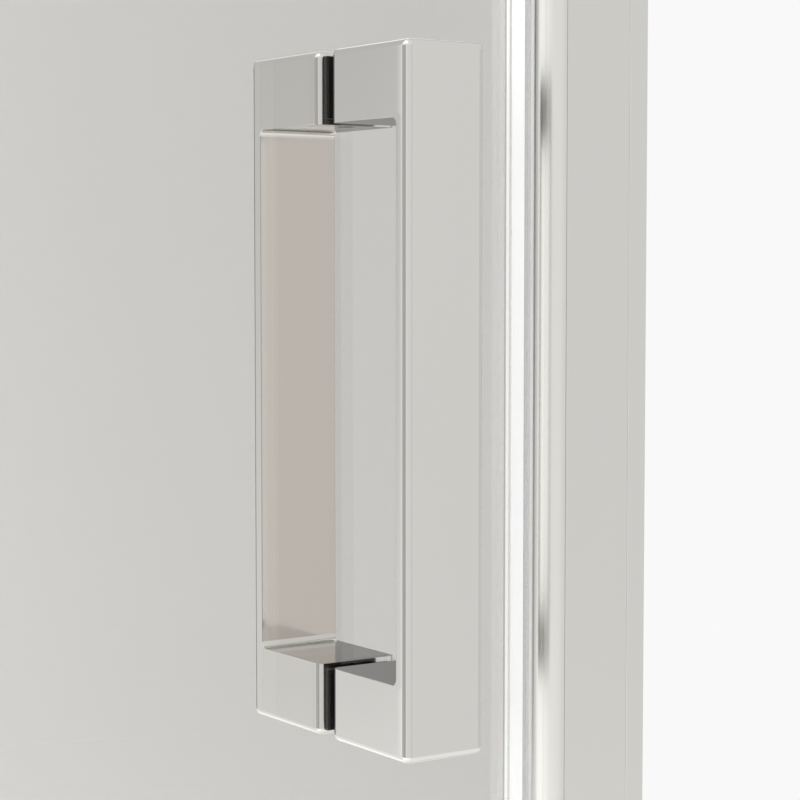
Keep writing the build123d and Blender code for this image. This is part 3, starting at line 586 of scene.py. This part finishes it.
def pull_half(name, node, inward, settings):
    """One half of the pull handle: a grip bar drawn out into two legs, with round outer edges."""
    low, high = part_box(node)
    glass_y, front_y = (low.y, high.y) if inward else (high.y, low.y)
    way = 1 if inward else -1
    inner_y = front_y - way * settings.grip
    bar_y = sorted((front_y, inner_y))
    piece = start_block(name, (low.x, bar_y[0], low.z), (high.x, bar_y[1], high.z))
    bends = (low.z + settings.leg, high.z - settings.leg)
    bpy.ops.object.mode_set(mode="EDIT")
    for z in bends:
        bpy.ops.mesh.select_all(action="SELECT")
        bpy.ops.mesh.bisect(plane_co=(low.x, front_y, z), plane_no=(0, 0, 1))

    def leg_foot(face):
        """True for a face on the glass side, above or below the opening."""
        return face.normal.y * way < -FACING and not bends[0] < face.calc_center_median().z < bends[1]

    pick(piece, "faces", leg_foot)
    bpy.ops.mesh.extrude_region_move(TRANSFORM_OT_translate={"value": (0, glass_y - inner_y, 0)})

    def outside(edge):
        """True for an edge along the outline of the whole half."""
        place = middle(edge)
        return sum(min(abs(place[a] - low[a]), abs(place[a] - high[a])) < ON_FACE for a in range(3)) >= 2

    stud_x = (low.x + high.x) / 2

    def in_corner(edge):
        """True for an edge across the half where the grip bar meets a leg."""
        place = middle(edge)
        at_bend = abs(place.y - inner_y) < ON_FACE and min(abs(place.z - z) for z in bends) < ON_FACE
        return at_bend and abs(place.x - stud_x) < ON_FACE

    pick(piece, "edges", lambda e: sharp(e) and in_corner(e))
    bpy.ops.mesh.bevel(offset=settings.inner_round, segments=settings.round_steps, affect="EDGES")
    pick(piece, "edges", lambda e: sharp(e) and outside(e))
    bpy.ops.mesh.bevel(offset=settings.edge_round, segments=settings.round_steps, affect="EDGES")

    def round_opening(edge):
        """True for an edge where the opening breaks through either side of the half."""
        return all(min(abs(v.co.x - low.x), abs(v.co.x - high.x)) < ON_FACE for v in edge.verts)

    pick(piece, "edges", lambda e: sharp(e) and round_opening(e))
    bpy.ops.mesh.bevel(offset=settings.edge_break, segments=2, affect="EDGES")
    bpy.ops.object.mode_set(mode="OBJECT")
    open_y = glass_y - way * OVERSHOOT
    deep_y = glass_y + way * settings.stud_depth
    for z in (low.z + settings.leg / 2, high.z - settings.leg / 2):
        cut_away(piece, start_rod("stud_hole", settings.stud_hole, (stud_x, open_y, z), (stud_x, deep_y, z)))
    return piece


def set_screw_holes(piece, settings):
    """The holes in the undersides of the inner legs, where the set screws go up to the studs."""
    for low, high in island_boxes("handle_set_screws"):
        place = (low + high) / 2
        start, end = (place.x, place.y, low.z - 2 * OVERSHOOT), (place.x, place.y, high.z)
        cut_away(piece, start_rod("screw_hole", settings.screw_hole, start, end))


class ENCLOSURE_OT_finishes(bpy.types.Operator):
    """Give every CAD node its finish"""

    bl_idname = "enclosure.finishes"
    bl_label = "Finishes"

    def execute(self, context):
        make_materials(context.scene.enclosure_finish)
        slots = {row["node"]: row["material_slot"] for row in frame["record"]["subparts"]}
        for name, node in nodes.items():
            node.data.materials.clear()
            node.data.materials.append(materials[finish_of(name, slots[name])])
        return {"FINISHED"}


class ENCLOSURE_OT_handles(bpy.types.Operator):
    """Model both halves of the pull handle"""

    bl_idname = "enclosure.handles"
    bl_label = "Handles"

    def execute(self, context):
        settings = context.scene.enclosure_handle
        for side, inward in (("outer", False), ("inner", True)):
            node = f"{side}_handle"
            piece = pull_half(f"{side}_pull", node, inward, settings)
            if inward:
                set_screw_holes(piece, settings)
            even_shading(piece)
            dress(piece, "door", "handle_metal", "handle_metal", "edge_near", "edge_far", "inner_face")
            # Painted dark reflection: side-facing rounds take the darker edge colour, front-facing rounds the
            # lighter one.
            for face in piece.data.polygons:
                aside = abs(face.normal.x)
                if abs(face.normal.z) < LEVEL < aside < SQUARE_ON:
                    face.material_index = 1 if aside > settings.dark_side_edge_share else 2
            # The inner half's face behind the glass takes the painted warm reflection.
            if inward:
                glass_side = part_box(node)[1].y - settings.grip
                for face in piece.data.polygons:
                    if face.normal.y < -FACING and abs(face.center.y - glass_side) < ON_FACE:
                        face.material_index = 3
            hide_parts(node)
        return {"FINISHED"}


class ENCLOSURE_OT_glass(bpy.types.Operator):
    """Grind the edges of both panes"""

    bl_idname = "enclosure.glass"
    bl_label = "Glass panes"

    def execute(self, context):
        arris = context.scene.enclosure_edges.glass_arris
        for side, body, across in (("door", "door", 1), ("side", "frame", 0)):
            node = f"{side}_glass"
            piece = merged_copy(node, f"{side}_pane")
            round_edges(piece, arris, 1)
            dress(piece, body, "clear_glass", "clear_glass", "glass_edge")
            for face in piece.data.polygons:
                face.material_index = 0 if abs(face.normal[across]) > FACING else 1
            piece.visible_glossy = False
            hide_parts(node)
        return {"FINISHED"}


class ENCLOSURE_OT_seals(bpy.types.Operator):
    """Round the soft seals and gaskets"""

    bl_idname = "enclosure.seals"
    bl_label = "Seals and gaskets"

    def magnet_seal(self, edges):
        """The edge seal: a milky ridge in front, clear legs on the glass and a soft bulb against the post."""
        seal = soft_copy("door_magnet_seal", "soft_magnet_seal", "door", "clear_vinyl", edges.vinyl_round)
        for name in ("milky_lip", "lip_end", "soft_bulb"):
            seal.data.materials.append(materials[name])
        start_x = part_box("door_magnet_seal")[0].x
        steps = (edges.ridge_edge, edges.ridge_face, edges.ridge_end)
        shade_x, milky_x, clear_x = (start_x + step for step in steps)
        select_only(seal)
        bpy.ops.object.mode_set(mode="EDIT")
        for x in (shade_x, milky_x):
            bpy.ops.mesh.select_all(action="SELECT")
            bpy.ops.mesh.bisect(plane_co=(x, 0, 0), plane_no=(1, 0, 0))
        bpy.ops.object.mode_set(mode="OBJECT")
        glass_low, glass_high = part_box("door_glass")
        for face in seal.data.polygons:
            place = face.center
            if place.x > glass_high.x:
                face.material_index = 3
            elif place.y < glass_low.y and milky_x < place.x < clear_x:
                face.material_index = 1
            # Painted shade on the rounded left edge of the ridge.
            elif place.y < glass_low.y and shade_x < place.x < milky_x:
                face.material_index = 2
        seal.visible_glossy = False

    def post_strip(self, edges):
        """The magnet strip in the post, with a soft edge that closes the slot beside the nose."""
        node = "post_magnet_strip"
        strip = soft_copy(node, f"soft_{node}", "frame", "magnet_strip", edges.strip_round)
        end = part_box(node)[1].x - edges.strip_round * 1.5
        select_only(strip)
        bpy.ops.object.mode_set(mode="EDIT")
        pick(strip, "faces", lambda f: f.calc_center_median().x > end)
        bpy.ops.transform.translate(value=(edges.strip_skirt, 0, 0))
        bpy.ops.object.mode_set(mode="OBJECT")
        strip.visible_glossy = False

    def execute(self, context):
        edges = context.scene.enclosure_edges
        for node in ("door_hinge_seal", "door_bottom_seal"):
            soft_copy(node, node.replace("door_", "soft_"), "door", "clear_vinyl", edges.vinyl_round)
        self.magnet_seal(edges)
        self.post_strip(edges)
        for node, slot in (("door_magnet", "magnet_strip"), ("seal_bond_strip", "white_strip")):
            soft_copy(node, f"soft_{node}", "door", slot, edges.strip_round).visible_glossy = False
        soft_copy("handle_gaskets", "soft_handle_gaskets", "door", "black_rubber", edges.rubber_round)
        for hinge in ("lower", "upper"):
            pads = f"{hinge}_hinge_pads"
            soft_copy(pads, f"soft_{pads}", "door", "black_rubber", edges.rubber_round)
        for side in ("outer", "inner"):
            gaskets = f"side_glass_{side}_gaskets"
            soft_copy(gaskets, f"soft_{gaskets}", "frame", "black_rubber", edges.rubber_round)
        return {"FINISHED"}


class ENCLOSURE_OT_post(bpy.types.Operator):
    """Part the post's stop leg from the post, so that the nose doesn't mirror it"""

    bl_idname = "enclosure.post"
    bl_label = "Corner post"

    def execute(self, context):
        edges = context.scene.enclosure_edges
        low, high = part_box("post_magnet_strip")
        leg_low = Vector((low.x, high.y, low.z))
        leg_high = Vector((low.x + edges.leg_reach, high.y + edges.leg_thick, high.z))
        clear = edges.leg_round
        post = merged_copy("corner_post", "nosed_post")
        space_low = leg_low - Vector((clear, clear, clear))
        space_high = leg_high + Vector((0, clear, clear))
        cut_away(post, start_block("leg_space", space_low, space_high))
        even_shading(post)
        leg = start_block("post_stop_leg", leg_low, leg_high)
        round_edges(leg, edges.leg_round)
        even_shading(leg)
        leg.visible_glossy = False
        for piece in (post, leg):
            dress(piece, "frame", "profile_metal", "upright_profile")
            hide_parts("corner_post")
        return {"FINISHED"}


class ENCLOSURE_OT_hinges(bpy.types.Operator):
    """Round the edges of the hinge plates"""

    bl_idname = "enclosure.hinges"
    bl_label = "Hinge plates"

    def execute(self, context):
        width = context.scene.enclosure_edges.hinge_round
        for hinge in ("lower", "upper"):
            for side in ("outer", "inner"):
                node = f"{hinge}_hinge_{side}_plate"
                soft_copy(node, f"rounded_{node}", "door", "hinge_metal", width)
        return {"FINISHED"}


class ENCLOSURE_OT_caps(bpy.types.Operator):
    """Round the plastic caps"""

    bl_idname = "enclosure.caps"
    bl_label = "Caps"

    def execute(self, context):
        edges = context.scene.enclosure_edges
        for node in ("corner_post_cap", "front_channel_cap", "side_channel_cap"):
            soft_copy(node, f"soft_{node}", "frame", "grey_plastic", edges.cap_round, 3)
        soft_copy("jamb_screw_caps", "soft_jamb_screw_caps", "frame", "grey_plastic", edges.snap_round, 4)
        return {"FINISHED"}


# Stage: panels of the room that metal and glass show. Bearings are in degrees from straight in front, left
# positive. Heights are the sine of the angle above level. Each panel adds its gain to a plain tone of 1.

METAL_PANELS = {
    "dark wall behind right": {"bearing": -146, "half": 38, "height": 0.05, "rise": 0.35, "gain": -0.94},
    "glow in front": {"bearing": 100, "half": 118, "blur": 40, "gain": 0.18},
    "glow on the left": {"bearing": 140, "half": 68, "blur": 70, "gain": 0.32},
    "wall behind left": {"bearing": 164, "half": 21, "blur": 6, "gain": -0.53},
    "shade on that wall": {
        "bearing": 165, "half": 22, "blur": 6, "height": 0.57, "rise": 0.6, "fade": 0.4, "gain": -0.24,
    },
    "softbox at upper left": {"bearing": 75, "half": 32, "height": 0.62, "rise": 0.2, "gain": 1.1},
    "pale floor": {"height": -0.8, "rise": 0.5, "gain": 0.15},
    "glow at lower left": {"bearing": 75, "half": 32, "height": -0.62, "rise": 0.2, "gain": 0.5},
}
GLASS_PANELS = {
    "grey wall behind": {
        "bearing": -150, "half": 45, "blur": 40, "height": 0.3, "rise": 0.85, "fade": 0.3, "gain": -0.42,
    },
}


def panel_group():
    """A soft-edged panel of the room, as a share from 0 outside it to 1 within."""
    numbers = ("Bearing", "Height", "Centre", "Half width", "Blur", "Middle", "Half height", "Fade")
    inputs = [(name, "NodeSocketFloat", None) for name in numbers]
    group, enter, leave = new_group("Room panel", inputs, [("Share", "NodeSocketFloat")])
    aside = maths(group, "SUBTRACT", enter.outputs["Bearing"], enter.outputs["Centre"])
    aside = maths(group, "PINGPONG", aside, 180.0)
    away = maths(group, "SUBTRACT", enter.outputs["Height"], enter.outputs["Middle"])
    away = maths(group, "ABSOLUTE", away, 0.0)
    shares = []
    for distance, half, soft in ((aside, "Half width", "Blur"), (away, "Half height", "Fade")):
        reach = maths(group, "MULTIPLY", enter.outputs[soft], 0.5)
        falling = {"To Min": 1.0, "To Max": 0.0}
        edge = add_node(group, "ShaderNodeMapRange", falling, interpolation_type="SMOOTHSTEP")
        wire(group, distance, edge.inputs["Value"])
        wire(group, maths(group, "SUBTRACT", enter.outputs[half], reach), edge.inputs["From Min"])
        wire(group, maths(group, "ADD", enter.outputs[half], reach), edge.inputs["From Max"])
        shares.append(edge.outputs["Result"])
    wire(group, maths(group, "MULTIPLY", *shares), leave.inputs["Share"])
    return group


def room_group(glass_sees):
    """The room's tone in a direction, for rays off metal and for rays through glass."""
    group, enter, leave = new_group(
        "Room tone",
        [("Vector", "NodeSocketVector", None)],
        [("Metal sees", "NodeSocketFloat"), ("Glass sees", "NodeSocketFloat")],
    )
    panel = panel_group()
    ahead = add_node(group, "ShaderNodeVectorMath", operation="NORMALIZE")
    wire(group, enter.outputs["Vector"], ahead.inputs[0])
    split = add_node(group, "ShaderNodeSeparateXYZ")
    wire(group, ahead.outputs["Vector"], split.inputs["Vector"])
    left, front = (maths(group, "MULTIPLY", split.outputs[axis], -1.0) for axis in "XY")
    bearing = maths(group, "DEGREES", maths(group, "ARCTAN2", left, front), 0.0)
    for output, tone, panels in (("Metal sees", 1.0, METAL_PANELS), ("Glass sees", glass_sees, GLASS_PANELS)):
        for name, values in panels.items():
            node = add_node(group, "ShaderNodeGroup", node_tree=panel, label=name)
            wire(group, bearing, node.inputs["Bearing"])
            wire(group, split.outputs["Z"], node.inputs["Height"])
            node.inputs["Centre"].default_value = values.get("bearing", 0)
            node.inputs["Half width"].default_value = values.get("half", 360)
            node.inputs["Blur"].default_value = values.get("blur", 12)
            node.inputs["Middle"].default_value = values.get("height", 0)
            node.inputs["Half height"].default_value = values.get("rise", 2)
            node.inputs["Fade"].default_value = values.get("fade", 0.15)
            tone = maths(group, "ADD", maths(group, "MULTIPLY", node.outputs["Share"], values["gain"]), tone)
        wire(group, tone, leave.inputs[output])
    return group


def blend(tree, factor, low, high):
    """A value that goes from one to the other as the factor goes from 0 to 1."""
    mix = add_node(tree, "ShaderNodeMix", data_type="FLOAT")
    for place, value in enumerate((factor, low, high)):
        socket = mix.inputs[("Factor", "A", "B")[place]]
        if isinstance(value, bpy.types.NodeSocket):
            wire(tree, value, socket)
        else:
            socket.default_value = value
    return mix.outputs["Result"]


def seen_strength(tree, vector, group, plain, backdrop):
    """How bright a far surface looks: white to the eye, toned in metal and glass, plain to soft light."""
    path = add_node(tree, "ShaderNodeLightPath")
    room = add_node(tree, "ShaderNodeGroup", node_tree=group)
    wire(tree, vector, room.inputs["Vector"])
    strength = blend(tree, path.outputs["Is Glossy Ray"], plain, room.outputs["Metal sees"])
    strength = blend(tree, path.outputs["Is Transmission Ray"], strength, room.outputs["Glass sees"])
    by_metal = maths(tree, "GREATER_THAN", path.outputs["Glossy Depth"], 0.5)
    through = maths(tree, "MULTIPLY", by_metal, path.outputs["Is Transmission Ray"])
    strength = blend(tree, through, strength, room.outputs["Metal sees"])
    return blend(tree, path.outputs["Is Camera Ray"], strength, backdrop)


def stage_floor(stage, group):
    """A pale floor that keeps the shadow near by, and is as bright as the room around it further away."""
    bpy.ops.object.select_all(action="DESELECT")
    bpy.ops.mesh.primitive_circle_add(vertices=96, radius=stage.floor_radius, fill_type="NGON")
    floor = bpy.context.object
    floor.name = floor.data.name = "floor"
    material = bpy.data.materials.new("pale_floor")
    material.use_nodes = True
    tree = material.node_tree
    tree.nodes.clear()
    output = add_node(tree, "ShaderNodeOutputMaterial")
    lit = add_node(tree, "ShaderNodeBsdfDiffuse", {"Color": (*[stage.floor] * 3, 1.0)})
    own = add_node(tree, "ShaderNodeEmission", {"Color": (1.0, 1.0, 1.0, 1.0)})
    coordinates = add_node(tree, "ShaderNodeTexCoord")
    aside = add_node(tree, "ShaderNodeVectorMath", operation="SUBTRACT")
    aside.inputs[1].default_value = (0.0, 0.0, stage.camera_place[2])
    wire(tree, coordinates.outputs["Object"], aside.inputs[0])
    seen = seen_strength(tree, aside.outputs["Vector"], group, stage.floor_lit, stage.backdrop)
    lift = maths(tree, "MAXIMUM", maths(tree, "SUBTRACT", seen, stage.floor_lit), 0.0)
    wire(tree, lift, own.inputs["Strength"])
    both = add_node(tree, "ShaderNodeAddShader")
    wire(tree, lit.outputs["BSDF"], both.inputs[0])
    wire(tree, own.outputs["Emission"], both.inputs[1])
    away = add_node(tree, "ShaderNodeVectorMath", operation="LENGTH")
    wire(tree, coordinates.outputs["Object"], away.inputs[0])
    fade = add_node(
        tree, "ShaderNodeMapRange", {"From Min": stage.shade_reach / 2, "From Max": stage.shade_reach},
        interpolation_type="SMOOTHSTEP",
    )
    wire(tree, away.outputs["Value"], fade.inputs["Value"])
    far = add_node(tree, "ShaderNodeEmission", {"Color": (1.0, 1.0, 1.0, 1.0)})
    wire(tree, seen, far.inputs["Strength"])
    ground = add_node(tree, "ShaderNodeMixShader")
    wire(tree, fade.outputs["Result"], ground.inputs["Fac"])
    wire(tree, both.outputs["Shader"], ground.inputs[1])
    wire(tree, far.outputs["Emission"], ground.inputs[2])
    wire(tree, ground.outputs["Shader"], output.inputs["Surface"])
    floor.data.materials.append(material)


def stage_room(stage, group):
    """Even light from all round, with plain white where the eye sees past everything."""
    world = bpy.data.worlds.new("white_room")
    bpy.context.scene.world = world
    world.use_nodes = True
    tree = world.node_tree
    tree.nodes.clear()
    output = add_node(tree, "ShaderNodeOutputWorld")
    light = add_node(tree, "ShaderNodeBackground", {"Color": (1.0, 1.0, 1.0, 1.0)})
    coordinates = add_node(tree, "ShaderNodeTexCoord")
    strength = seen_strength(tree, coordinates.outputs["Generated"], group, stage.room_light, stage.backdrop)
    wire(tree, strength, light.inputs["Strength"])
    wire(tree, light.outputs["Background"], output.inputs["Surface"])


def softbox(name, place, target, width, height, power):
    """A soft lamp that lights the object without showing in it; the room's panels do that."""
    lamp = bpy.data.lights.new(name, "AREA")
    lamp.shape, lamp.size, lamp.size_y, lamp.energy = "RECTANGLE", width, height, power
    holder = bpy.data.objects.new(name, lamp)
    bpy.context.scene.collection.objects.link(holder)
    holder.location = place
    holder.visible_camera = holder.visible_glossy = holder.visible_transmission = False
    holder.rotation_euler = (Vector(target) - Vector(place)).to_track_quat("-Z", "Y").to_euler()


def stage_camera(stage):
    camera = bpy.data.objects.new("camera", bpy.data.cameras.new("camera"))
    bpy.context.scene.collection.objects.link(camera)
    camera.location = stage.camera_place
    camera.rotation_euler = (math.pi / 2 - stage.camera_pitch, 0, -stage.camera_yaw)
    camera.data.lens = stage.camera_lens
    camera.data.sensor_width = 36
    bpy.context.scene.camera = camera


class ENCLOSURE_OT_stage(bpy.types.Operator):
    """Set up the floor, the light and the camera"""

    bl_idname = "enclosure.stage"
    bl_label = "Stage"

    def execute(self, context):
        stage = context.scene.enclosure_stage
        group = room_group(stage.glass_sees)
        stage_floor(stage, group)
        stage_room(stage, group)
        softbox("softbox_above", (-0.4, -0.8, 3.0), (0.2, -0.3, 1.0), 1.4, 1.4, stage.lamp_above)
        softbox("softbox_front", (-1.5, -2.6, 1.6), (0.2, -0.4, 1.0), 2.0, 2.0, stage.lamp_front)
        stage_camera(stage)
        context.scene.view_settings.view_transform = "Standard"
        return {"FINISHED"}


OPERATORS = (
    ENCLOSURE_OT_finishes,
    ENCLOSURE_OT_handles,
    ENCLOSURE_OT_glass,
    ENCLOSURE_OT_seals,
    ENCLOSURE_OT_post,
    ENCLOSURE_OT_hinges,
    ENCLOSURE_OT_caps,
    ENCLOSURE_OT_stage,
)
SETTINGS = {
    "enclosure_finish": FinishSettings,
    "enclosure_handle": HandleSettings,
    "enclosure_edges": EdgeSettings,
    "enclosure_stage": StageSettings,
}


class ENCLOSURE_PT_panel(bpy.types.Panel):
    """The pieces and their settings"""

    bl_label = "Corner shower enclosure"
    bl_idname = "ENCLOSURE_PT_panel"
    bl_space_type = "VIEW_3D"
    bl_region_type = "UI"
    bl_category = "Enclosure"

    def draw(self, context):
        for operator in OPERATORS:
            self.layout.operator(operator.bl_idname)
        for name, group in SETTINGS.items():
            box = self.layout.box()
            for setting in group.__annotations__:
                box.prop(getattr(context.scene, name), setting)


def register():
    for group in (*SETTINGS.values(), *OPERATORS, ENCLOSURE_PT_panel):
        bpy.utils.register_class(group)
    for name, group in SETTINGS.items():
        setattr(bpy.types.Scene, name, PointerProperty(type=group))


def unregister():
    for name in SETTINGS:
        delattr(bpy.types.Scene, name)
    for group in (ENCLOSURE_PT_panel, *reversed(OPERATORS), *SETTINGS.values()):
        bpy.utils.unregister_class(group)


def main():
    register()
    bpy.ops.enclosure.finishes()
    bpy.ops.enclosure.handles()
    bpy.ops.enclosure.glass()
    bpy.ops.enclosure.seals()
    bpy.ops.enclosure.post()
    bpy.ops.enclosure.hinges()
    bpy.ops.enclosure.caps()
    bpy.ops.enclosure.stage()


if __name__ == "__main__":
    main()
